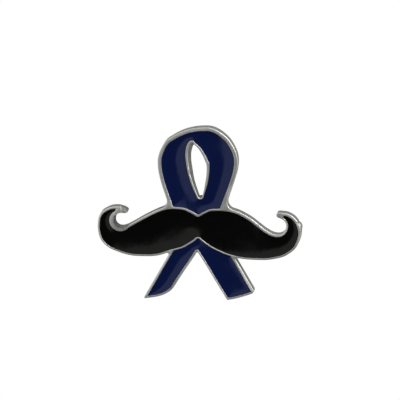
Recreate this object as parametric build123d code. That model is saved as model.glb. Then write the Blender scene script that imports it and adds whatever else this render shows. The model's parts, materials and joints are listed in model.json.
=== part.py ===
from build123d import *
import math
import os

os.makedirs("parts", exist_ok=True)

# Driving sizes in millimetres, measured from the post's axis unless said otherwise.
# X runs to the right across the face, Y up the face to the ribbon's loop, Z out of the face.

# Moustache
moustache_span = 25.5
moustache_height = 6.5

# Ribbon loop
loop_half_width = 5.0
loop_top = 12.78
hole_half_width = 1.27
hole_bottom = 3.72
hole_length = 7.07

# Ribbon tails
tail_half_spread = 7.0
tail_drop = 9.39

# Raised rims between the outline and the colour
moustache_rim = 0.27
divider = 0.2
loop_rim = 0.44
hole_rim = 0.26
tail_rim = 0.28
hook_collar_radius = 1.36
left_tip_solid_radius = 1.05
right_tip_solid_radius = 0.62
rim_lean = 0.08

# Roundings seen from the front
neck_crotch_radius = 1.0
tail_crotch_radius = 0.2
corner_radius = 0.14

# Plate
plate_thickness = 1.4
hole_side_taper = 0.28
hole_top_taper = 0.5
recess_depth = 0.4

# Sloped wall inside the left hook, a cone that opens to the front
hook_bay_radius = 1.03
hook_bay_taper = 0.27

# Sloped facet at the left hook's tip: degrees down from the face, and the heading it falls along
tip_facet_slope = 52
tip_facet_heading = 45
tip_facet_size = 1.2

# Mark where the casting was broken from its gate, on the right hook's wall
gate_mark_diameter = 1.12
gate_mark_proud = 0.25
gate_mark_heading = 18

# Colour fill
enamel_drop = 0.1
enamel_gap = 0.015

# Post, its solder pad and the clutch
cloth_gap = 1.2
post_diameter = 1.1
post_point_length = 1.5
post_point_diameter = 0.3
post_root = 0.2
post_tip_clearance = 0.5
solder_pad_diameter = 3.0
solder_pad_height = 0.3
solder_slope = 0.15
clutch_diameter = 5.2
clutch_height = 4.6
clutch_waist_diameter = 4.0
clutch_foot_height = 1.0
clutch_cap_height = 0.9
clutch_edge_chamfer = 0.2
post_clearance = 0.06
bore_floor = 0.6

# Limits: the gap under which shapes touch, how far out of line an arc's ends may be and still be
# drawn as a line, how far headings may differ and count as one, and a corner's least turn in degrees
touching = 1e-4
in_line = 1e-4
same_heading = 1e-3
least_corner = 8

back_height = clutch_height + cloth_gap
front_height = back_height + plate_thickness
half_span = moustache_span / 2

# Outline tables. Each row is one point of an outline, taken clockwise:
# x share, y share, heading on arrival in degrees, turn at the point in degrees.
# Two tangent arcs join each point to the next.

# Shares of half the span and of the height, right half from the top notch to the bottom one
MOUSTACHE_RIGHT = [
    (0.000, 0.254, 0, 0),
    (0.024, 0.278, 35, 0),
    (0.086, 0.348, 27, 0),
    (0.204, 0.384, 2, 0),
    (0.361, 0.350, -16, 0),
    (0.479, 0.247, -28, 0),
    (0.634, 0.031, -37, 0),
    (0.784, -0.099, 0, 0),
    (0.867, 0.075, 90, 0),
    (0.824, 0.207, 155, 0),
    (0.769, 0.285, 90, 0),
    (0.791, 0.336, 4, 0),
    (0.843, 0.331, 0, 0),
    (0.920, 0.282, -30, 0),
    (0.983, 0.155, -62, 0),
    (1.013, -0.047, -90, 0),
    (0.977, -0.308, -118, 0),
    (0.885, -0.486, -145, 0),
    (0.737, -0.589, -168, 0),
    (0.549, -0.613, -180, 0),
    (0.392, -0.589, -190, 0),
    (0.235, -0.502, -203, 0),
    (0.122, -0.398, -210, 0),
    (0.028, -0.270, -218, 0),
]

# Left half, from the bottom notch round the longer hook and back to the top notch
MOUSTACHE_LEFT = [
    (0.000, -0.233, 180, 0),
    (-0.028, -0.275, 218, 0),
    (-0.121, -0.398, 211, 0),
    (-0.253, -0.492, 196, 0),
    (-0.408, -0.592, 190, 0),
    (-0.596, -0.612, 180, 0),
    (-0.781, -0.547, 160, 0),
    (-0.895, -0.449, 144, 0),
    (-0.973, -0.268, 112, 0),
    (-0.995, -0.031, 90, 0),
    (-0.966, 0.212, 57, 0),
    (-0.889, 0.323, 27, 0),
    (-0.800, 0.357, 0, 0),
    (-0.737, 0.330, -18, 0),
    (-0.707, 0.298, -34, 0),
    (-0.699, 0.262, -98, 0),
    (-0.713, 0.230, -168, 0),
    (-0.765, 0.228, -180, 0),
    (-0.827, 0.078, -90, 0),
    (-0.761, -0.047, 0, 0),
    (-0.683, 0.005, 30, 0),
    (-0.564, 0.145, 32, 0),
    (-0.407, 0.312, 26, 0),
    (-0.316, 0.376, 15, 0),
    (-0.192, 0.390, -2, 0),
    (-0.100, 0.352, -27, 0),
    (-0.025, 0.278, -33, 0),
]

# Shares of the loop's half width and of its top, from the left arm to the right arm
LOOP = [
    (-0.920, 0.404, 107, 0),
    (-1.032, 0.640, 90, 0),
    (-0.890, 0.818, 60, 0),
    (-0.564, 0.923, 31, 0),
    (0.200, 1.000, 0, 0),
    (0.576, 0.946, -37, 0),
    (0.790, 0.866, -54, 0),
    (0.985, 0.651, -92, 0),
    (0.831, 0.396, -108, 0),
]
# Where the arms reach the moustache's middle, hidden behind it, and where the right arm's colour
# would reach it, as its rim widens to the neck: shares of the loop's half width
LOOP_LEFT_END = -0.562
LOOP_RIGHT_END = 0.500
LOOP_FIELD_RIGHT_END = 0.455

# Shares of the hole's half width and of its length above its lowest point, from the top tip
HOLE = [
    (-0.638, 0.997, 0, 0),
    (-0.472, 0.974, -42, 0),
    (0.130, 0.855, -57, 0),
    (0.785, 0.633, -66, 0),
    (0.866, 0.546, -90, 0),
    (0.805, 0.363, -98, 0),
    (0.375, 0.020, -106, 0),
    (0.157, 0.000, -180, 0),
    (0.000, 0.017, -246, 0),
    (-0.441, 0.204, -250, 0),
    (-1.000, 0.598, -262, 0),
    (-1.102, 0.786, -270, 0),
    (-0.961, 0.931, -286, 0),
]

# Width of the hole's rim at each of those points, as shares of hole_rim
HOLE_RIM_SHARES = [1.1, 0.8, 1.1, 1.2, 0.9, 0.8, 0.5, 0.6, 0.6, 0.8, 1.0, 1.0, 1.1]

# Shares of the tails' half spread and of their drop, from the right tail's outer edge to the left tail's
TAILS = [
    (0.996, -0.830, -59, 0),
    (0.969, -0.889, -158, 0),
    (0.530, -0.986, -170, -67),
    (-0.014, -0.334, -237, 116),
    (-0.360, -0.741, -121, 0),
    (-0.508, -0.891, -143, 0),
    (-0.660, -0.953, -161, 0),
    (-0.986, -1.003, -171, -126),
]
# Where the tails leave the moustache's middle, hidden behind it: shares of the tails' half spread
TAILS_LEFT_START = -0.240
TAILS_RIGHT_START = 0.335

# Places on the moustache, as shares of half the span and of the height: the middles of the left hook's
# collar, of the bay inside it and of both hooks' solid tips, the ridge of the left tip's facet, and the
# casting's gate mark
HOOK_COLLAR = (-0.773, 0.078)
HOOK_BAY = (-0.760, 0.073)
LEFT_TIP = (-0.737, 0.272)
RIGHT_TIP = (0.796, 0.300)
TIP_RIDGE = (-0.737, 0.284)
GATE_MARK = (1.002, 0.080)


def direction(heading):
    """Unit vector of a heading in degrees."""
    return Vector(math.cos(math.radians(heading)), math.sin(math.radians(heading)))


def tangent_arc(start, heading, end):
    """One arc that leaves start along a heading, or a line where the two are in line."""
    chord = end - start
    if abs(direction(heading).cross(chord.normalized()).Z) < in_line:
        return Edge.make_line(start, end)
    return Edge.make_tangent_arc(start, direction(heading), end)


def two_arcs(start, leaving, end, arriving):
    """Two arcs, tangent where they meet, from one point and heading to the next."""
    chord = end - start
    out_way = direction(leaving)
    in_way = direction(arriving)
    along = chord.dot(out_way + in_way)
    spread = 2 * (1 - out_way.dot(in_way))
    if spread < same_heading**2:
        handle = chord.dot(chord) / (2 * along)
    else:
        handle = (math.sqrt(along**2 + spread * chord.dot(chord)) - along) / spread
    meeting = (start + out_way * handle + end - in_way * handle) / 2
    first = tangent_arc(start, leaving, meeting)
    way_on = first % 1
    return [first, tangent_arc(meeting, math.degrees(math.atan2(way_on.Y, way_on.X)), end)]


def places(rows, width, height, base=0.0):
    """Rows of shares as real places: point, heading on arrival, heading on leaving."""
    return [(Vector(x * width, base + y * height), head, head + turn) for x, y, head, turn in rows]


def closed_face(stops):
    """The face inside an outline through the stops, in order and back to the first."""
    edges = []
    for here, there in zip(stops, stops[1:] + stops[:1]):
        edges += two_arcs(here[0], here[2], there[0], there[1])
    return Face(Wire(edges))


def ribbon_face(stops, last, first):
    """The face inside an outline whose ends run straight to two points behind the moustache."""
    edges = [Edge.make_line(first, stops[0][0])]
    for here, there in zip(stops, stops[1:]):
        edges += two_arcs(here[0], here[2], there[0], there[1])
    edges.append(Edge.make_line(stops[-1][0], last))
    edges.append(Edge.make_line(last, first))
    return Face(Wire(edges))


def set_off(stops, distances):
    """Stops of a clockwise outline moved out, each by its own distance."""
    return [
        (place + direction(arriving + 90) * distance, arriving, leaving)
        for (place, arriving, leaving), distance in zip(stops, distances)
    ]


def on_moustache(share):
    """A place given as shares of the moustache's half span and of its height."""
    return Vector(share[0] * half_span, share[1] * moustache_height)


def grown(face, distance):
    """A face moved out all round by a distance, or in where it is negative."""
    return Face(face.outer_wire().offset_2d(distance))


def field(face, rim):
    """The colour's field inside an outline, which leaves a wider rim on the upper right."""
    return grown(face, -rim).moved(Pos(-rim_lean / 2, -rim_lean / 2, 0))


def disc(middle, radius):
    """A round face."""
    return Face(Wire.make_circle(radius, Plane(middle)))


def straight_block(face, low, high):
    """A block with upright walls between two heights."""
    return Solid.extrude(face.moved(Pos(0, 0, low)), Vector(0, 0, high - low))


def sharp_corners(block):
    """Upright edges of a block where its outline turns by more than a few degrees."""
    found = []
    for upright in block.edges().filter_by(Axis.Z):
        middle = upright @ 0.5
        touched = [face for face in block.faces() if face.distance_to(middle) < touching]
        beside = [face.normal_at(middle) for face in touched]
        if len(beside) == 2 and beside[0].get_angle(beside[1]) > least_corner:
            found.append(upright)
    return found


def crotches(block, ribbon):
    """Upright edges of a block where one of the ribbon's outlines meets the moustache's."""
    found = []
    for upright in block.edges().filter_by(Axis.Z):
        place = upright @ 0
        flat = Vector(place.X, place.Y)
        if max(outline.outer_wire().distance_to(flat) for outline in (ribbon, moustache)) < touching:
            found.append(upright)
    return found


moustache = closed_face(places(MOUSTACHE_RIGHT + MOUSTACHE_LEFT, half_span, moustache_height))
hole_stops = places(HOLE, hole_half_width, hole_length, hole_bottom)
hole = closed_face(hole_stops)
hole_collar = closed_face(set_off(hole_stops, [share * hole_rim for share in HOLE_RIM_SHARES]))
loop, loop_field = (
    ribbon_face(
        places(LOOP, loop_half_width, loop_top),
        Vector(right_end * loop_half_width, 0),
        Vector(LOOP_LEFT_END * loop_half_width, 0),
    )
    for right_end in (LOOP_RIGHT_END, LOOP_FIELD_RIGHT_END)
)
tails = ribbon_face(
    places(TAILS, tail_half_spread, tail_drop),
    Vector(TAILS_LEFT_START * tail_half_spread, 0),
    Vector(TAILS_RIGHT_START * tail_half_spread, 0),
)

# The fields for the colour: the moustache's keeps clear of the left hook's solid collar and of both
# solid tips, and the ribbon's stop short of the moustache's by the thin divider
divider_zone = grown(moustache, divider - moustache_rim)
moustache_cell = (
    field(moustache, moustache_rim)
    - disc(on_moustache(HOOK_COLLAR), hook_collar_radius)
    - disc(on_moustache(LEFT_TIP), left_tip_solid_radius)
    - disc(on_moustache(RIGHT_TIP), right_tip_solid_radius)
)
loop_cell = grown(loop_field, -loop_rim) - hole_collar - divider_zone
tails_cell = field(tails, tail_rim) - divider_zone
cells = {"enamel_moustache": moustache_cell, "enamel_loop": loop_cell, "enamel_tails": tails_cell}


def turned(profile):
    """A solid of revolution about the post's axis, from points of radius and height."""
    wire = Wire.make_polygon([Vector(radius, 0, height) for radius, height in profile])
    return Solid.revolve(Face(wire), 360, Axis.Z)


def post():
    """The pointed post with the solder pad that holds it, rooted a little way into the plate."""
    tip = bore_floor + post_tip_clearance
    shank = post_diameter / 2
    pad = solder_pad_diameter / 2
    return turned([
        (0, tip),
        (post_point_diameter / 2, tip),
        (shank, tip + post_point_length),
        (shank, back_height - solder_pad_height),
        (pad - solder_slope, back_height - solder_pad_height),
        (pad, back_height),
        (pad, back_height + post_root),
        (0, back_height + post_root),
    ])


def hook_bay():
    """The cone that slopes the wall inside the left hook, narrower at the back."""
    back = hook_bay_radius - hook_bay_taper
    foot = on_moustache(HOOK_BAY) + Vector(0, 0, back_height)
    return Solid.make_cone(back, hook_bay_radius, plate_thickness, Plane(foot))


def tip_facet():
    """The wedge of metal taken off the left hook's tip, from a ridge across it down to the corner."""
    ridge = on_moustache(TIP_RIDGE) + Vector(0, 0, front_height)
    across = direction(tip_facet_heading + 90)
    out_of_facet = Vector(0, 0, 1).rotate(Axis((0, 0, 0), across), tip_facet_slope)
    facet = Plane(ridge - across * tip_facet_size / 2, x_dir=across.cross(out_of_facet), z_dir=out_of_facet)
    return Solid.make_box(tip_facet_size, tip_facet_size, tip_facet_size, facet)


def gate_mark():
    """The low domed mark on the right hook's wall, as deep in as the rim is wide."""
    outwards = direction(gate_mark_heading)
    rim = gate_mark_diameter / 2
    foot = on_moustache(GATE_MARK) + Vector(0, 0, back_height + plate_thickness / 2)
    dome_radius = (rim**2 + gate_mark_proud**2) / (2 * gate_mark_proud)
    stub = Solid.make_cylinder(
        rim, moustache_rim + gate_mark_proud, Plane(foot - outwards * moustache_rim, z_dir=outwards)
    )
    return stub & Solid.make_sphere(dome_radius, Plane(foot - outwards * (dome_radius - gate_mark_proud)))


def hole_block():
    """The hole as a block whose outline shrinks towards the back at its sides and top, as cast."""
    foot = closed_face(
        places(HOLE, hole_half_width - hole_side_taper, hole_length - hole_top_taper, hole_bottom)
    )
    ends = [foot.moved(Pos(0, 0, back_height)).outer_wire(), hole.moved(Pos(0, 0, front_height)).outer_wire()]
    return Solid.make_loft(ends, ruled=True)


def badge_body():
    """The cast badge with its sunk fields and see-through hole, and the post soldered to its back."""
    plate = straight_block((moustache + loop + tails).faces()[0], back_height, front_height)
    plate = plate.fillet(neck_crotch_radius, crotches(plate, loop))
    plate = plate.fillet(tail_crotch_radius, crotches(plate, tails))
    plate = plate.fillet(corner_radius, sharp_corners(plate))
    plate = plate + gate_mark()
    plate = plate - hole_block() - hook_bay()
    for cell in cells.values():
        plate = plate - straight_block(cell.faces()[0], front_height - recess_depth, front_height)
    return plate - tip_facet() + post()


def enamel(cell):
    """The colour in a field, a hair short of its walls and floor and a little below the rims."""
    shape = cell.faces()[0]
    fill = grown(shape, -enamel_gap)
    for inner in shape.inner_wires():
        fill = fill - grown(Face(inner), enamel_gap)
    floor = front_height - recess_depth + enamel_gap
    return straight_block(fill.faces()[0], floor, front_height - enamel_drop)


def clutch():
    """The round clutch on the post: a foot, a waist to hold it by and a cap, with a blind bore."""
    rim = clutch_diameter / 2
    edge = clutch_edge_chamfer
    waist = clutch_waist_diameter / 2
    cap_bottom = clutch_height - clutch_cap_height
    barrel = turned([
        (0, 0),
        (rim - edge, 0),
        (rim, edge),
        (rim, clutch_foot_height - edge),
        (rim - edge, clutch_foot_height),
        (waist, clutch_foot_height),
        (waist, cap_bottom),
        (rim - edge, cap_bottom),
        (rim, cap_bottom + edge),
        (rim, clutch_height - edge),
        (rim - edge, clutch_height),
        (0, clutch_height),
    ])
    bore_radius = post_diameter / 2 + post_clearance
    return barrel - Solid.make_cylinder(bore_radius, clutch_height - bore_floor, Plane((0, 0, bore_floor)))


pieces = {"badge_body": badge_body(), "clutch": clutch()}
for name, cell in cells.items():
    pieces[name] = enamel(cell)
for name, piece in pieces.items():
    export_step(piece.solids()[0], f"parts/{name}.step")
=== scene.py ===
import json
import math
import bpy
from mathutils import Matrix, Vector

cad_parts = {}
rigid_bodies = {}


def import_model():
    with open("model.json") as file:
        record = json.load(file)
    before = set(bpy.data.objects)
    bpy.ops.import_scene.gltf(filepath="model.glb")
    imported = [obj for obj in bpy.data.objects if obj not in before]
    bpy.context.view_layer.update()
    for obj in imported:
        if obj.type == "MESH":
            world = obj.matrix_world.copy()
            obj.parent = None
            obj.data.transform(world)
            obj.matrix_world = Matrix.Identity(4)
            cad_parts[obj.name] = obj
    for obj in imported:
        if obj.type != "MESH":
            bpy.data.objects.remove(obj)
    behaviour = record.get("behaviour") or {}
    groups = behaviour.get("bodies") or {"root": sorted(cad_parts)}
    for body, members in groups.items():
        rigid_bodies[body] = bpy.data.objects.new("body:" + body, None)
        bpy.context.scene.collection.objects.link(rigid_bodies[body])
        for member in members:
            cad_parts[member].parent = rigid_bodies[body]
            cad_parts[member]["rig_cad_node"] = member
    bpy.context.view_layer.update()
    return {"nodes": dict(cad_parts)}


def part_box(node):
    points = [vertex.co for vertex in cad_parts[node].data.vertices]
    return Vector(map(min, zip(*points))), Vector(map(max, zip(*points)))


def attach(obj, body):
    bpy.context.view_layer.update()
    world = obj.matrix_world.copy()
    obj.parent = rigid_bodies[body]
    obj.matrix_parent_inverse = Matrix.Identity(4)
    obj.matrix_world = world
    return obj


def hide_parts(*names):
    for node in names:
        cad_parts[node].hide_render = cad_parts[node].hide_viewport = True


bl_info = {
    "name": "Pin badge",
    "version": (1, 0, 0),
    "blender": (4, 5, 0),
    "location": "View3D > Sidebar > Badge",
    "description": "Builds the looks of the enamelled pin badge over its CAD frame",
    "category": "Object",
}

import bpy
from mathutils import Matrix, Vector
from mathutils.kdtree import KDTree

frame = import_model()
MM = 0.001

# Places on the badge: its plate, the ribbon's hole, and the round bay inside the left hook
FRONT_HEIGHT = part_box("badge_body")[1].z
PLATE = 1.4 * MM
HOLE_HALF_WIDTH = 1.8 * MM
HOLE_BOTTOM = 3.5 * MM
HOLE_TOP = 11.0 * MM
BAY_MIDDLE = Vector((-9.69, 0.475)) * MM
BAY_REACH = 1.05 * MM

# Limits that tell edges and faces apart, where a face's rise is the upright part of its normal
DEEP_WALL = 0.8 * MM
SAME_HEIGHT = 0.001 * MM
TOP_BAND = 0.01 * MM
LEVEL_RISE = 0.99
UPRIGHT_RISE = 0.5

# How copies of the CAD nodes are merged and flattened
MERGE_GAP = 0.0002 * MM
FLATTEN_ANGLE = math.radians(0.6)

# Spacing of the places along a rim's lines that distances are first looked up by
RIM_STEP = 0.04 * MM


def length(name, text, millimetres):
    """A length setting, typed here in millimetres and kept in metres."""
    return bpy.props.FloatProperty(
        name=name,
        description=text,
        default=millimetres * MM,
        min=0.0,
        precision=6,
        unit="LENGTH",
    )


def amount(name, text, value):
    """A plain number setting."""
    return bpy.props.FloatProperty(name=name, description=text, default=value)


def angle(name, text, degrees):
    """An angle setting, typed here in degrees."""
    return bpy.props.FloatProperty(
        name=name, description=text, default=math.radians(degrees), unit="ROTATION"
    )


def colour(name, text, value):
    """A linear colour setting."""
    return bpy.props.FloatVectorProperty(
        name=name, description=text, default=value, size=3, min=0.0, max=1.0, subtype="COLOR"
    )


class BadgeMetalSettings(bpy.types.PropertyGroup):
    """The plated casting and its rims."""

    rim_round: length("Rim round", "Radius on the outer edges of the rims", 0.11)
    hole_round: length("Hole round", "Radius on the edge of the hole", 0.06)
    cell_round: length("Cell round", "Radius on the rims' edges beside the enamel", 0.03)
    back_round: length("Back round", "Radius on the edges of the back", 0.05)
    rim_lean: angle("Rim lean", "Outward lean of the rims' tops", 17)
    lean_reach: length("Lean reach", "Widest stretch of a rim's top that leans", 0.16)
    plate_colour: colour("Plate colour", "Colour of the nickel plating", (0.7, 0.7, 0.675))
    darkest: amount("Darkest", "Share of that colour left where the plating is darkest", 0.5)
    roughness: amount("Roughness", "How dull clean plating is", 0.36)
    grain: amount("Grain", "Darkness of the grain on the walls, which are left as cast", 0.6)
    grain_size: length("Grain size", "Width of that grain", 0.3)
    grain_depth: length("Grain depth", "Depth below the front over which the grain sets in", 0.35)
    # Painted shade: extra darkness painted on the recessed walls of the hole and the left hook's bay
    recess_shade_darkness: amount("Shelter", "Extra darkness of the walls of the hole and the left hook's bay", 0.8)
    pit_size: length("Pit size", "Width of the pits left by casting", 0.22)
    pit_depth: length("Pit depth", "Depth of the pits left by casting", 0.035)
    pit_cover: amount("Pit cover", "Level of the skin's noise above which it has pits", 0.56)
    pit_darkness: amount("Pit darkness", "How far a pit darkens the plating", 0.6)
    smudges: amount("Smudges", "Smudges from handling along a metre", 260)
    smudge_darkness: amount("Smudge darkness", "How far a smudge darkens the plating", 0.15)
    smudge_dullness: amount("Smudge dullness", "How far a smudge dulls the plating", 0.1)


class BadgeEnamelSettings(bpy.types.PropertyGroup):
    """The three enamel fills."""

    grid: length("Grid", "Pitch of the cuts that let the enamel sag", 0.2)
    creep_depth: length("Creep depth", "Drop of the enamel close to its rim", 0.03)
    creep_width: length("Creep width", "Width over which it drops close to its rim", 0.2)
    sag_depth: length("Sag depth", "Drop of the enamel towards its middle", 0.11)
    sag_width: length("Sag width", "Width over which it drops towards its middle", 1.1)
    right_tail: amount("Right tail", "Share of the sag in the right tail, which is fuller", 0.45)
    crease_width: length("Crease width", "Reach over which the sag is evened out", 0.35)
    black: colour("Black", "Colour of the black enamel", (0.0022, 0.0022, 0.0022))
    blue: colour("Blue", "Colour of the navy enamel", (0.0036, 0.0078, 0.044))
    black_sheen: colour("Black sheen", "Tint of what the black enamel mirrors", (0.56, 0.56, 0.55))
    blue_sheen: colour("Blue sheen", "Tint of what the navy enamel mirrors", (0.58, 0.66, 1.0))
    gloss: amount("Gloss", "Strength of what the enamel mirrors, 0.5 for common paint", 0.9)
    roughness: amount("Roughness", "How dull clean enamel is", 0.07)
    ripples: amount("Ripples", "Ripples in the skin along a metre", 700)
    ripple_depth: length("Ripple depth", "Depth of those ripples", 0.006)
    specks: amount("Specks", "Places for a speck of dust along a metre", 9000)
    speck_light: amount("Speck light", "How much lighter a speck is than the enamel", 0.02)
    smudges: amount("Smudges", "Smudges from handling along a metre", 500)
    smudge_dullness: amount("Smudge dullness", "How far a smudge dulls the enamel", 0.05)


class BadgeClutchSettings(bpy.types.PropertyGroup):
    """The clutch behind the badge."""

    plate_colour: colour("Plate colour", "Colour of the clutch's plating", (0.66, 0.65, 0.62))
    darkest: amount("Darkest", "Share of that colour left under a smudge", 0.8)
    roughness: amount("Roughness", "How dull clean plating is", 0.28)
    turning_pitch: length("Turning pitch", "Spacing of the turning marks", 0.12)
    turning_depth: length("Turning depth", "Depth of the turning marks", 0.004)
    turning_show: amount("Turning show", "How clearly the turning marks show", 0.6)
    smudges: amount("Smudges", "Smudges from handling along a metre", 420)
    smudge_dullness: amount("Smudge dullness", "How far a smudge dulls the plating", 0.12)


class BadgeStageSettings(bpy.types.PropertyGroup):
    """Floor, light and camera. A bearing is counted from straight up the face towards its right."""

    floor_size: length("Floor size", "Side of the floor", 3000)
    floor_colour: colour("Floor colour", "Colour of the floor in the picture", (1.0, 1.0, 1.0))
    floor_bounce: colour("Floor bounce", "Share of light that the floor returns", (0.33, 0.33, 0.32))
    tilt: angle("Tilt", "Angle of the camera from straight above", 14.5)
    bearing: angle("Bearing", "Bearing of the camera", 28)
    roll: angle("Roll", "Turn of the camera about its own line of sight", 1.1)
    distance: length("Distance", "From the badge to the camera", 1200)
    field: length("Field", "Width that the picture spans at the badge's front", 50)
    nearest: length("Nearest", "Nearest that the camera sees", 10)
    farthest: length("Farthest", "Farthest that the camera sees", 20000)
    aim_right: length("Aim right", "Picture's middle, right of the post's axis", 0.225)
    aim_up: length("Aim up", "Picture's middle, above the post's axis", 3.4)
    key_power: amount("Key power", "Power of the main lamp in watts", 1.3)
    key_tilt: angle("Key tilt", "Angle of the main lamp from straight above", 52)
    key_bearing: angle("Key bearing", "Bearing of the main lamp", 52)
    key_distance: length("Key distance", "From the badge to the main lamp", 450)
    key_size: length("Key size", "Side of the main lamp", 280)
    room_colour: colour("Room colour", "Colour of the studio around the badge", (1.0, 1.0, 0.985))
    room_light: amount("Room light", "Brightness of the studio around the badge", 0.85)
    near_light: amount("Near light", "Brightness of the studio's side below the picture", 0.25)
    opening_tilt: angle("Opening tilt", "Angle of the dark opening from straight above", 14.5)
    opening_bearing: angle("Opening bearing", "Bearing of the dark opening", 208)
    opening_dark: angle("Opening dark", "Half-width of the opening where it is fully dark", 22)
    opening_end: angle("Opening end", "Half-width of the opening where the studio is back", 30)
    panel_light: amount("Panel light", "Brightness of the soft panel in the opening", 0.33)
    panel_bearing: angle("Panel bearing", "Side of the opening that the panel fills", 298.8)


def settings(group):
    """One of the scene's groups of badge settings."""
    return getattr(bpy.context.scene, "badge_" + group)


# What all pieces share


def select_only(piece):
    """Leaves one object selected and active."""
    bpy.ops.object.select_all(action="DESELECT")
    piece.select_set(True)
    bpy.context.view_layer.objects.active = piece


def pick(piece, kind, indices):
    """Opens a piece for editing with only some of its edges or faces selected."""
    select_only(piece)
    bpy.ops.object.mode_set(mode="EDIT")
    bpy.ops.mesh.select_mode(type=kind)
    bpy.ops.mesh.select_all(action="DESELECT")
    bpy.ops.object.mode_set(mode="OBJECT")
    members = piece.data.edges if kind == "EDGE" else piece.data.polygons
    for index in indices:
        members[index].select = True
    bpy.ops.object.mode_set(mode="EDIT")


def merged_copy(node, name, flatten):
    """A copy of a CAD node with its loose triangles merged, and those in one plane joined if asked."""
    select_only(frame["nodes"][node])
    bpy.ops.object.duplicate()
    piece = bpy.context.view_layer.objects.active
    if piece is frame["nodes"][node]:
        raise RuntimeError(node + " could not be copied")
    bpy.ops.object.parent_clear(type="CLEAR_KEEP_TRANSFORM")
    del piece["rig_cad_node"]
    piece.name = name
    piece.data.name = name
    piece.data.materials.clear()
    bpy.ops.object.mode_set(mode="EDIT")
    bpy.ops.mesh.select_all(action="SELECT")
    bpy.ops.mesh.remove_doubles(threshold=MERGE_GAP)
    if flatten:
        bpy.ops.mesh.dissolve_limited(angle_limit=FLATTEN_ANGLE)
    bpy.ops.object.mode_set(mode="OBJECT")
    return piece


def settle(piece, material, node, smooth_degrees):
    """Shades a finished piece and ties it to the frame."""
    select_only(piece)
    bpy.ops.object.shade_smooth_by_angle(angle=math.radians(smooth_degrees))
    piece.data.materials.clear()
    piece.data.materials.append(material)
    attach(piece, "root")
    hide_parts(node)


def held_share(value):
    """A number held between 0 and 1."""
    return min(1.0, max(0.0, value))


def lines_along(pairs):
    """A tree of places along some straight lines, and the line that each place lies on."""
    places = []
    lines = []
    for start, end in pairs:
        steps = max(1, math.ceil((end - start).length / RIM_STEP))
        places += [start.lerp(end, step / steps) for step in range(steps)]
        lines += [(start, end - start)] * steps
    tree = KDTree(len(places))
    for index, place in enumerate(places):
        tree.insert(place, index)
    tree.balance()
    return tree, lines


def rim_distance(rim, place):
    """Distance from a place to the nearest line of a rim."""
    tree, lines = rim
    neighbours = 4
    nearest = math.inf
    for _, index, _ in tree.find_n(place, neighbours):
        start, along = lines[index]
        share = held_share((place - start).dot(along) / along.length_squared)
        nearest = min(nearest, (place - start - along * share).length)
    return nearest


# The casting's edges and rims


def rim_edges(piece, height, outer):
    """The edges at one height between a level face and an upright one. The upright face is a deep
    wall for the outer edges, and a shallow one for the others, which lie beside the enamel."""
    mesh = piece.data
    beside = {}
    for face in mesh.polygons:
        low = min(mesh.vertices[v].co.z for v in face.vertices)
        high = max(mesh.vertices[v].co.z for v in face.vertices)
        for key in face.edge_keys:
            beside.setdefault(key, []).append((abs(face.normal.z), high - low))
    found = []
    for edge in mesh.edges:
        if any(abs(mesh.vertices[v].co.z - height) > SAME_HEIGHT for v in edge.vertices):
            continue
        faces = sorted(beside[tuple(sorted(edge.vertices))])
        (upright_rise, wall_height), (level_rise, _) = faces[0], faces[-1]
        if level_rise > LEVEL_RISE and upright_rise < UPRIGHT_RISE and (wall_height > DEEP_WALL) == outer:
            found.append(edge.index)
    return found


def edge_middle(piece, edge):
    """The middle of an edge, on plan."""
    first, second = (piece.data.vertices[v].co.xy for v in piece.data.edges[edge].vertices)
    return (first + second) / 2


def beside_hole(piece, edge):
    """Whether an edge lies on the ribbon's hole."""
    middle = edge_middle(piece, edge)
    return abs(middle.x) < HOLE_HALF_WIDTH and HOLE_BOTTOM < middle.y < HOLE_TOP


def beside_bay(piece, edge):
    """Whether an edge lies on the round bay inside the left hook."""
    return (edge_middle(piece, edge) - BAY_MIDDLE).length < BAY_REACH


def edge_lines(piece, edges):
    """The lines that some edges of a piece follow, for distances to them."""
    mesh = piece.data
    pairs = [tuple(mesh.vertices[v].co.copy() for v in mesh.edges[edge].vertices) for edge in edges]
    return lines_along(pairs)


def round_edges(piece, edges, radius, segments):
    """Rounds some edges of a piece."""
    pick(piece, "EDGE", edges)
    bpy.ops.mesh.bevel(
        offset=radius, offset_type="OFFSET", segments=segments, profile=0.5, clamp_overlap=False
    )
    bpy.ops.object.mode_set(mode="OBJECT")


def keep_sharp(piece, edges):
    """Marks some edges of a piece to be shaded as sharp ones."""
    pick(piece, "EDGE", edges)
    bpy.ops.mesh.mark_sharp()
    bpy.ops.object.mode_set(mode="OBJECT")


def lean_rims(piece, outer, inner, part):
    """Lets the tops of the rims fall away outward, as tumbled rims do. The outer and inner lines are
    those of the rims' edges before they were rounded."""
    select_only(piece)
    bpy.ops.object.mode_set(mode="EDIT")
    bpy.ops.mesh.select_all(action="SELECT")
    bpy.ops.mesh.quads_convert_to_tris(quad_method="BEAUTY", ngon_method="BEAUTY")
    bpy.ops.object.mode_set(mode="OBJECT")
    foot = FRONT_HEIGHT - part.rim_round
    # At a corner a rounding reaches further than its radius
    corner_reach = 1.4 * part.rim_round
    # The rim stays level up to this many times the bay's reach from its middle
    level_near_bay = 1.3
    for vertex in piece.data.vertices:
        if vertex.co.z < foot:
            continue
        place = Vector((*vertex.co.xy, FRONT_HEIGHT))
        out = rim_distance(outer, place)
        if out > corner_reach:
            continue
        flat_width = out + rim_distance(inner, place) - part.rim_round
        beyond_bay = held_share((place.xy - BAY_MIDDLE).length / BAY_REACH - level_near_bay)
        drop = math.tan(part.rim_lean) * min(part.lean_reach, max(0.0, flat_width)) * beyond_bay
        vertex.co.z -= drop * (vertex.co.z - foot) / part.rim_round


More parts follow.
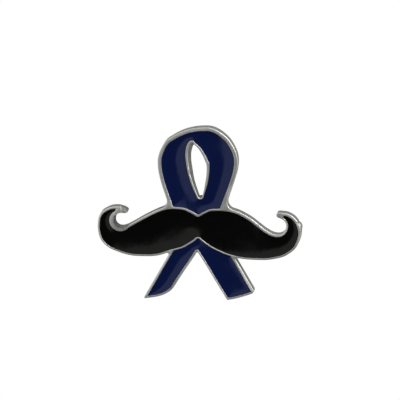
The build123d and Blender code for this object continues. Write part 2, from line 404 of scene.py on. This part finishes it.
def level_normals(piece):
    """Lets the wide faces of a piece keep their own shading beside the rounded edges."""
    select_only(piece)
    bpy.ops.object.modifier_add(type="WEIGHTED_NORMAL")
    modifier = piece.modifiers[-1]
    modifier.mode = "FACE_AREA"
    modifier.weight = 100
    modifier.keep_sharp = True
    bpy.ops.object.modifier_apply(modifier=modifier.name)


# The enamel's sag


def piece_box(piece):
    """The lowest and highest corners of a piece's box."""
    places = [vertex.co for vertex in piece.data.vertices]
    low = [min(place[axis] for place in places) for axis in range(3)]
    high = [max(place[axis] for place in places) for axis in range(3)]
    return low, high


def on_top(face, top):
    """Whether a face lies in the flat top of a fill."""
    return face.normal.z > LEVEL_RISE and face.center.z > top - TOP_BAND


def top_outline(piece, top):
    """The lines where the top of a fill meets its upright sides, for distances to them."""
    beside = {}
    for face in piece.data.polygons:
        for key in face.edge_keys:
            beside.setdefault(key, []).append(on_top(face, top))
    keys = [key for key, kinds in beside.items() if any(kinds) and not all(kinds)]
    return lines_along([tuple(piece.data.vertices[v].co.copy() for v in key) for key in keys])


def cut_grid(piece, pitch):
    """Cuts a piece along both ways so that its top can take a curve."""
    low, high = piece_box(piece)
    bpy.ops.object.mode_set(mode="EDIT")
    for axis in (0, 1):
        normal = [0.0, 0.0, 0.0]
        normal[axis] = 1.0
        count = int((high[axis] - low[axis]) / pitch)
        for step in range(1, count + 1):
            place = [0.0, 0.0, 0.0]
            place[axis] = low[axis] + (high[axis] - low[axis]) * step / (count + 1)
            bpy.ops.mesh.select_all(action="SELECT")
            bpy.ops.mesh.bisect(plane_co=place, plane_no=normal)
    bpy.ops.object.mode_set(mode="OBJECT")


def refine_rim(piece, top, rim, width, times):
    """Divides the faces of a fill's top that lie close to its rim, each time closer to it."""
    for _ in range(times):
        mesh = piece.data
        near = [
            face.index
            for face in mesh.polygons
            if on_top(face, top) and min(rim[0].find(mesh.vertices[v].co)[2] for v in face.vertices) < width
        ]
        pick(piece, "FACE", near)
        bpy.ops.mesh.subdivide(number_cuts=1)
        bpy.ops.object.mode_set(mode="OBJECT")
        width = width / 2


def sag(piece, part, right_share):
    """Lets the top of a fill sink away from its rim, and its right half by a share of that."""
    top = piece_box(piece)[1][2]
    rim = top_outline(piece, top)
    cut_grid(piece, part.grid)
    refine_rim(piece, top, rim, part.grid, times=2)
    count = 8
    turns = [math.tau * number / count for number in range(count)]
    ways = [Vector((math.cos(turn), math.sin(turn), 0)) for turn in turns]
    short_of_rim = 0.9
    for vertex in piece.data.vertices:
        if vertex.co.z < top - TOP_BAND:
            continue
        away = rim_distance(rim, vertex.co)
        reach = min(part.crease_width, short_of_rim * away)
        gaps = [away, *(rim_distance(rim, vertex.co + way * reach) for way in ways)]
        creep = part.creep_depth * (1 - math.exp(-away / part.creep_width))
        deep = sum(1 - math.exp(-gap / part.sag_width) for gap in gaps) / len(gaps)
        right = held_share(vertex.co.x / part.sag_width)
        vertex.co.z -= creep + part.sag_depth * deep * (1 + (right_share - 1) * right)


# Shader nodes


def feed(tree, value, socket):
    """Links a socket to another one, or sets it to a value."""
    if isinstance(value, bpy.types.NodeSocket):
        tree.links.new(value, socket)
    else:
        socket.default_value = value


def add_node(tree, kind, inputs=(), **options):
    """A node with its options set and its inputs fed."""
    node = tree.nodes.new(kind)
    for key, value in options.items():
        setattr(node, key, value)
    for socket, value in inputs:
        feed(tree, value, node.inputs[socket])
    return node


def math_node(tree, operation, *values, clamp=False):
    """The result of a math node whose inputs are sockets or numbers."""
    inputs = enumerate(values)
    return add_node(tree, "ShaderNodeMath", inputs, operation=operation, use_clamp=clamp).outputs[0]


def plus(tree, first, second, clamp=False):
    """The sum of two values."""
    return math_node(tree, "ADD", first, second, clamp=clamp)


def minus(tree, first, second):
    """The first value less the second."""
    return math_node(tree, "SUBTRACT", first, second)


def times(tree, first, second):
    """The product of two values."""
    return math_node(tree, "MULTIPLY", first, second)


def length_on_plan(tree, right, up):
    """How long the way right and up is."""
    return math_node(tree, "SQRT", plus(tree, times(tree, right, right), times(tree, up, up)))


def ramp(tree, value, low, high):
    """A mask that rises smoothly from 0 at a low value to 1 at a high one."""
    inputs = (("Value", value), ("From Min", low), ("From Max", high))
    return add_node(tree, "ShaderNodeMapRange", inputs, interpolation_type="SMOOTHSTEP").outputs["Result"]


def noise(tree, place, waves, detail, rough=0.5):
    """A noise of so many waves a metre."""
    inputs = (("Vector", place), ("Scale", waves), ("Detail", detail), ("Roughness", rough))
    return add_node(tree, "ShaderNodeTexNoise", inputs).outputs["Fac"]


def mix(tree, mask, first, second, kind="FLOAT"):
    """A value that a mask leads from a first to a second one, or with kind RGBA a colour."""
    node = add_node(tree, "ShaderNodeMix", ((0, mask),), data_type=kind)
    socket_type = "VALUE" if kind == "FLOAT" else kind
    ends = [socket for socket in node.inputs if socket.name in ("A", "B") and socket.type == socket_type]
    for socket, value in zip(ends, (first, second)):
        feed(tree, value, socket)
    return next(socket for socket in node.outputs if socket.type == socket_type)


def mix_colours(tree, mask, first, second):
    """A colour that a mask leads from a first to a second one."""
    return mix(tree, mask, (*first, 1.0), (*second, 1.0), "RGBA")


def object_place(tree):
    """The place on a piece, in metres."""
    return tree.nodes.new("ShaderNodeTexCoord").outputs["Object"]


def parts_of(tree, vector):
    """The X, Y and Z of a vector."""
    return add_node(tree, "ShaderNodeSeparateXYZ", ((0, vector),)).outputs


# Shader groups


def new_group(name, inputs, outputs):
    """An empty shader group, the sockets that it is given, and those that take its results."""
    group = bpy.data.node_groups.new(name, "ShaderNodeTree")
    for label, value in inputs:
        socket = group.interface.new_socket(label, in_out="INPUT", socket_type="NodeSocketFloat")
        socket.default_value = value
    for label in outputs:
        group.interface.new_socket(label, in_out="OUTPUT", socket_type="NodeSocketFloat")
    source = group.nodes.new("NodeGroupInput")
    sink = group.nodes.new("NodeGroupOutput")
    return group, source.outputs, sink.inputs


def casting_pits_group():
    """Height of a cast and plated skin, with soft waves and pits here and there, and a mask of the pits."""
    group, given, result = new_group(
        "casting pits", (("Pit Size", 0.0002), ("Cover", 0.5)), ("Height", "Pits")
    )
    broad_share = 0.3
    fine_height, broad_height = 0.35, 0.5
    pit_floor, pit_edge = 0.05, 0.42
    full_depth = 0.9
    place = object_place(group)
    waves = math_node(group, "DIVIDE", 1.0, given["Pit Size"])
    fine = noise(group, place, waves, detail=3.0, rough=0.6)
    broad = noise(group, place, times(group, waves, broad_share), detail=2.0)
    cells = add_node(group, "ShaderNodeTexVoronoi", (("Vector", place), ("Scale", waves)), feature="F1")
    bowl = minus(group, 1.0, ramp(group, cells.outputs["Distance"], pit_floor, pit_edge))
    pits = times(group, bowl, ramp(group, fine, given["Cover"], full_depth))
    skin = plus(group, times(group, fine, fine_height), times(group, broad, broad_height))
    feed(group, minus(group, skin, pits), result["Height"])
    feed(group, pits, result["Pits"])
    return group


def handling_group():
    """A mask of faint rubs and smudges from handling."""
    group, given, result = new_group("handling", (("Scale", 400.0),), ("Smudge",))
    clean, smudged = 0.38, 0.7
    cloud = noise(group, object_place(group), given["Scale"], detail=4.0, rough=0.6)
    feed(group, ramp(group, cloud, clean, smudged), result["Smudge"])
    return group


def group_node(tree, name, maker, inputs):
    """A node of a shader group, which is made when it is first asked for."""
    group = bpy.data.node_groups.get(name) or maker()
    return add_node(tree, "ShaderNodeGroup", inputs, node_tree=group).outputs


def smudge_mask(tree, smudges):
    """A material's own mask of smudges, with so many along a metre."""
    return group_node(tree, "handling", handling_group, (("Scale", smudges),))["Smudge"]


# Materials


def new_material(name):
    """A material with its node tree and its bare shader."""
    material = bpy.data.materials.new(name)
    material.use_nodes = True
    return material, material.node_tree, material.node_tree.nodes["Principled BSDF"]


def dress(tree, shader, shade, dullness, height, depth, show=1.0):
    """Leads a colour, a roughness and a relief of some depth into a shader."""
    inputs = (("Strength", show), ("Distance", depth), ("Height", height))
    bump = add_node(tree, "ShaderNodeBump", inputs)
    feed(tree, shade, shader.inputs["Base Color"])
    feed(tree, dullness, shader.inputs["Roughness"])
    feed(tree, bump.outputs["Normal"], shader.inputs["Normal"])


def outside(tree, value, limit):
    """A mask that is 0 up to a limit and 1 a little past it."""
    past = 1.08
    return ramp(tree, value, limit, past * limit)


def painted_recess_shade_mask(tree, right, up):
    """A mask for painted shade in the recesses: the walls of the hole and the left hook's bay."""
    middle = (HOLE_TOP + HOLE_BOTTOM) / 2
    across = math_node(tree, "ABSOLUTE", right)
    along = math_node(tree, "ABSOLUTE", minus(tree, up, middle))
    beyond_sides = outside(tree, across, HOLE_HALF_WIDTH)
    beyond_ends = outside(tree, along, (HOLE_TOP - HOLE_BOTTOM) / 2)
    off_hole = math_node(tree, "MAXIMUM", beyond_sides, beyond_ends)
    from_bay = length_on_plan(tree, minus(tree, right, BAY_MIDDLE.x), minus(tree, up, BAY_MIDDLE.y))
    return minus(tree, 1.0, times(tree, off_hole, outside(tree, from_bay, BAY_REACH)))


def plated_metal():
    """Nickel plating over a die casting: bright on the rims, left as cast down the walls, and with painted
    shade on the walls of the hole and the left hook's bay.
    """
    part = settings("metal")
    material, tree, shader = new_material("nickel plating")
    shader.inputs["Metallic"].default_value = 1.0
    no_grain, full_grain = 0.4, 0.75
    # How dark the painted shade on the recessed walls is between the grain
    between_grain = 0.3
    place = object_place(tree)
    right, up, height = parts_of(tree, place)
    polished = ramp(tree, height, FRONT_HEIGHT - part.grain_depth, FRONT_HEIGHT)
    unpolished = minus(tree, 1.0, polished)
    grain = ramp(tree, noise(tree, place, 1 / part.grain_size, detail=3.0, rough=0.65), no_grain, full_grain)
    as_cast = times(tree, grain, unpolished)
    # Painted shade on the walls of the hole and the left hook's bay, mottled by the grain
    recess_shade_mottle = times(tree, unpolished, plus(tree, grain, between_grain))
    painted_recess_shade = times(tree, painted_recess_shade_mask(tree, right, up), recess_shade_mottle)
    skin = plus(tree, times(tree, as_cast, part.grain), times(tree, painted_recess_shade, part.recess_shade_darkness))
    pit_inputs = (("Pit Size", part.pit_size), ("Cover", part.pit_cover))
    pits = group_node(tree, "casting pits", casting_pits_group, pit_inputs)
    smudge = smudge_mask(tree, part.smudges)
    worn = plus(
        tree, times(tree, smudge, part.smudge_darkness), times(tree, pits["Pits"], part.pit_darkness)
    )
    bright = tuple(part.plate_colour)
    dark = tuple(channel * part.darkest for channel in bright)
    shade = mix_colours(tree, plus(tree, worn, skin, clamp=True), bright, dark)
    dullness = plus(tree, times(tree, smudge, part.smudge_dullness), part.roughness)
    dress(tree, shader, shade, dullness, pits["Height"], part.pit_depth)
    return material


def enamel_material(name, base, sheen):
    """Baked enamel: a glossy skin with a faint ripple, dust and smudges."""
    part = settings("enamel")
    material, tree, shader = new_material(name)
    shader.inputs["Specular IOR Level"].default_value = part.gloss
    shader.inputs["Specular Tint"].default_value = (*sheen, 1.0)
    no_speck, full_speck = 0.74, 0.8
    place = object_place(tree)
    speck = ramp(tree, noise(tree, place, part.specks, detail=1.0), no_speck, full_speck)
    shade = mix_colours(tree, speck, base, tuple(channel + part.speck_light for channel in base))
    smudge = smudge_mask(tree, part.smudges)
    dullness = plus(tree, times(tree, smudge, part.smudge_dullness), part.roughness)
    ripple = noise(tree, place, part.ripples, detail=2.0)
    dress(tree, shader, shade, dullness, ripple, part.ripple_depth)
    return material


def clutch_material():
    """Plated brass with fine turning marks."""
    part = settings("clutch")
    material, tree, shader = new_material("clutch plating")
    shader.inputs["Metallic"].default_value = 1.0
    smudge = smudge_mask(tree, part.smudges)
    bright = tuple(part.plate_colour)
    shade = mix_colours(tree, smudge, bright, tuple(channel * part.darkest for channel in bright))
    dullness = plus(tree, times(tree, smudge, part.smudge_dullness), part.roughness)
    right, up, height = parts_of(tree, object_place(tree))
    along = plus(tree, length_on_plan(tree, right, up), height)
    rings = math_node(tree, "SINE", times(tree, along, math.tau / part.turning_pitch))
    dress(tree, shader, shade, dullness, rings, part.turning_depth, part.turning_show)
    return material


def floor_material(part):
    """A pale floor that the camera sees evenly lit, and that throws a softer light on the badge."""
    material, tree, shader = new_material("studio floor")
    shader.inputs["Base Color"].default_value = (*part.floor_bounce, 1.0)
    shader.inputs["Roughness"].default_value = 0.9
    shader.inputs["Specular IOR Level"].default_value = 0.1
    glow_strength = 1.03
    glow_share = 0.97
    glow_inputs = (("Color", (*part.floor_colour, 1.0)), ("Strength", glow_strength))
    glow = add_node(tree, "ShaderNodeEmission", glow_inputs)
    seen = tree.nodes.new("ShaderNodeLightPath").outputs["Is Camera Ray"]
    mixed_inputs = ((0, times(tree, seen, glow_share)), (1, shader.outputs[0]), (2, glow.outputs[0]))
    mixed = add_node(tree, "ShaderNodeMixShader", mixed_inputs)
    feed(tree, mixed.outputs[0], tree.nodes["Material Output"].inputs["Surface"])
    return material


# Stage


def way_to(tilt, bearing):
    """The way from the badge to a place, given by its tilt from straight above and its bearing."""
    flat = math.sin(tilt)
    return Vector((flat * math.sin(bearing), flat * math.cos(bearing), math.cos(tilt)))


def add_camera(part):
    """Adds the camera and gives the place that it looks at."""
    to_camera = way_to(part.tilt, part.bearing)
    lean = Vector((0, 0, 1)).rotation_difference(to_camera).to_matrix()
    axes = lean @ Matrix.Rotation(part.roll, 3, "Z")
    right, up, _ = axes.col
    target = Vector((0, 0, FRONT_HEIGHT)) + right * part.aim_right + up * part.aim_up
    bpy.ops.object.camera_add(location=target + to_camera * part.distance)
    camera = bpy.context.view_layer.objects.active
    camera.name = "camera"
    camera.rotation_euler = axes.to_euler()
    camera.data.sensor_fit = "HORIZONTAL"
    camera.data.lens = camera.data.sensor_width * part.distance / part.field
    camera.data.clip_start = part.nearest
    camera.data.clip_end = part.farthest
    bpy.context.scene.camera = camera
    return target


def add_lamp(part, target):
    """Adds the main lamp, square and soft, which faces the badge."""
    way = way_to(part.key_tilt, part.key_bearing)
    bpy.ops.object.light_add(type="AREA", location=target + way * part.key_distance)
    lamp = bpy.context.view_layer.objects.active
    lamp.name = "key_lamp"
    lamp.rotation_euler = way.to_track_quat("Z", "Y").to_euler()
    lamp.data.shape = "SQUARE"
    lamp.data.size = part.key_size
    lamp.data.energy = part.key_power


def closeness(tree, way, other):
    """How nearly two ways are the same: 1 where they are, and 0 where they are square."""
    node = add_node(tree, "ShaderNodeVectorMath", ((0, way), (1, other)), operation="DOT_PRODUCT")
    return node.outputs["Value"]


def add_room(part):
    """A pale studio all round, with a dark opening over the badge and one soft panel in it."""
    world = bpy.data.worlds.new("studio")
    bpy.context.scene.world = world
    world.use_nodes = True
    tree = world.node_tree
    no_panel, full_panel = 0.03, 0.05
    near_start, near_full = 0.2, 0.65
    level = math.pi / 2
    way = tree.nodes.new("ShaderNodeTexCoord").outputs["Generated"]
    middle = way_to(part.opening_tilt, part.opening_bearing)
    in_opening = ramp(
        tree, closeness(tree, way, middle), math.cos(part.opening_end), math.cos(part.opening_dark)
    )
    side = way_to(level, part.panel_bearing)
    side = (side - middle * side.dot(middle)).normalized()
    panel = ramp(tree, closeness(tree, way, side), no_panel, full_panel)
    nearness = ramp(tree, times(tree, parts_of(tree, way)["Y"], -1.0), near_start, near_full)
    room = mix(tree, nearness, part.room_light, part.near_light)
    brightness = mix(tree, in_opening, room, times(tree, panel, part.panel_light))
    background = tree.nodes["Background"]
    background.inputs["Color"].default_value = (*part.room_colour, 1.0)
    feed(tree, brightness, background.inputs["Strength"])


# Operators


class BADGE_OT_casting(bpy.types.Operator):
    """Make the plated casting with its rounded rims"""

    bl_idname = "badge.casting"
    bl_label = "Casting"
    bl_options = {"REGISTER", "UNDO"}

    def execute(self, context):
        part = settings("metal")
        piece = merged_copy("badge_body", "casting", flatten=True)
        outer = [edge for edge in rim_edges(piece, FRONT_HEIGHT, True) if not beside_hole(piece, edge)]
        outer_lines = edge_lines(piece, outer)
        inner_lines = edge_lines(piece, rim_edges(piece, FRONT_HEIGHT, False))
        round_edges(piece, outer, part.rim_round, segments=4)
        outer = rim_edges(piece, FRONT_HEIGHT, True)
        hole = [edge for edge in outer if beside_hole(piece, edge)]
        round_edges(piece, hole, part.hole_round, segments=3)
        inner = rim_edges(piece, FRONT_HEIGHT, False)
        off_bay = [edge for edge in inner if not beside_bay(piece, edge)]
        round_edges(piece, off_bay, part.cell_round, segments=2)
        back = rim_edges(piece, FRONT_HEIGHT - PLATE, True)
        round_edges(piece, back, part.back_round, segments=2)
        inner = rim_edges(piece, FRONT_HEIGHT, False)
        keep_sharp(piece, [edge for edge in inner if beside_bay(piece, edge)])
        for vertex in piece.data.vertices:
            vertex.co.z = min(vertex.co.z, FRONT_HEIGHT)
        lean_rims(piece, outer_lines, inner_lines, part)
        settle(piece, plated_metal(), "badge_body", smooth_degrees=30)
        level_normals(piece)
        return {"FINISHED"}


class BADGE_OT_enamel(bpy.types.Operator):
    """Pour the three enamel fills into their cells"""

    bl_idname = "badge.enamel"
    bl_label = "Enamel"
    bl_options = {"REGISTER", "UNDO"}

    def execute(self, context):
        part = settings("enamel")
        black = enamel_material("black enamel", tuple(part.black), tuple(part.black_sheen))
        blue = enamel_material("navy enamel", tuple(part.blue), tuple(part.blue_sheen))
        for node, name, material, slot, right_share in (
            ("enamel_moustache", "fill_moustache", black, "black_enamel", 1.0),
            ("enamel_loop", "fill_loop", blue, "blue_enamel", 1.0),
            ("enamel_tails", "fill_tails", blue, "blue_enamel", part.right_tail),
        ):
            piece = merged_copy(node, name, flatten=False)
            sag(piece, part, right_share)
            settle(piece, material, node, smooth_degrees=50)
        return {"FINISHED"}


class BADGE_OT_clutch(bpy.types.Operator):
    """Make the clutch that holds the badge's post"""

    bl_idname = "badge.clutch"
    bl_label = "Clutch"
    bl_options = {"REGISTER", "UNDO"}

    def execute(self, context):
        piece = merged_copy("clutch", "clutch_cap", flatten=True)
        settle(piece, clutch_material(), "clutch", smooth_degrees=35)
        return {"FINISHED"}


class BADGE_OT_stage(bpy.types.Operator):
    """Set the floor, the lights and the camera"""

    bl_idname = "badge.stage"
    bl_label = "Stage"
    bl_options = {"REGISTER", "UNDO"}

    def execute(self, context):
        part = settings("stage")
        bpy.ops.object.select_all(action="DESELECT")
        bpy.ops.mesh.primitive_plane_add(size=part.floor_size, location=(0, 0, 0))
        floor = context.view_layer.objects.active
        floor.name = "studio_floor"
        floor.data.materials.append(floor_material(part))
        add_lamp(part, add_camera(part))
        add_room(part)
        view = context.scene.view_settings
        view.view_transform = "Standard"
        view.look = "None"
        return {"FINISHED"}


class BADGE_PT_panel(bpy.types.Panel):
    """Lists the badge's pieces and their settings"""

    bl_idname = "BADGE_PT_panel"
    bl_label = "Pin badge"
    bl_space_type = "VIEW_3D"
    bl_region_type = "UI"
    bl_category = "Badge"

    def draw(self, context):
        for operator, part in (
            ("badge.stage", "stage"),
            ("badge.casting", "metal"),
            ("badge.enamel", "enamel"),
            ("badge.clutch", "clutch"),
        ):
            box = self.layout.box()
            box.operator(operator)
            group = settings(part)
            for key in group.bl_rna.properties.keys():
                if key not in ("rna_type", "name"):
                    box.prop(group, key)


SETTINGS = {
    "badge_metal": BadgeMetalSettings,
    "badge_enamel": BadgeEnamelSettings,
    "badge_clutch": BadgeClutchSettings,
    "badge_stage": BadgeStageSettings,
}
CLASSES = (
    *SETTINGS.values(),
    BADGE_OT_stage,
    BADGE_OT_casting,
    BADGE_OT_enamel,
    BADGE_OT_clutch,
    BADGE_PT_panel,
)


def register():
    """Adds the badge's settings, operators and panel to Blender."""
    for cls in CLASSES:
        bpy.utils.register_class(cls)
    for name, group in SETTINGS.items():
        setattr(bpy.types.Scene, name, bpy.props.PointerProperty(type=group))


def unregister():
    """Takes the badge's settings, operators and panel out of Blender."""
    for name in SETTINGS:
        delattr(bpy.types.Scene, name)
    for cls in reversed(CLASSES):
        bpy.utils.unregister_class(cls)


def main():
    """Makes the stage and all pieces."""
    register()
    bpy.ops.badge.stage()
    bpy.ops.badge.casting()
    bpy.ops.badge.enamel()
    bpy.ops.badge.clutch()


if __name__ == "__main__":
    main()
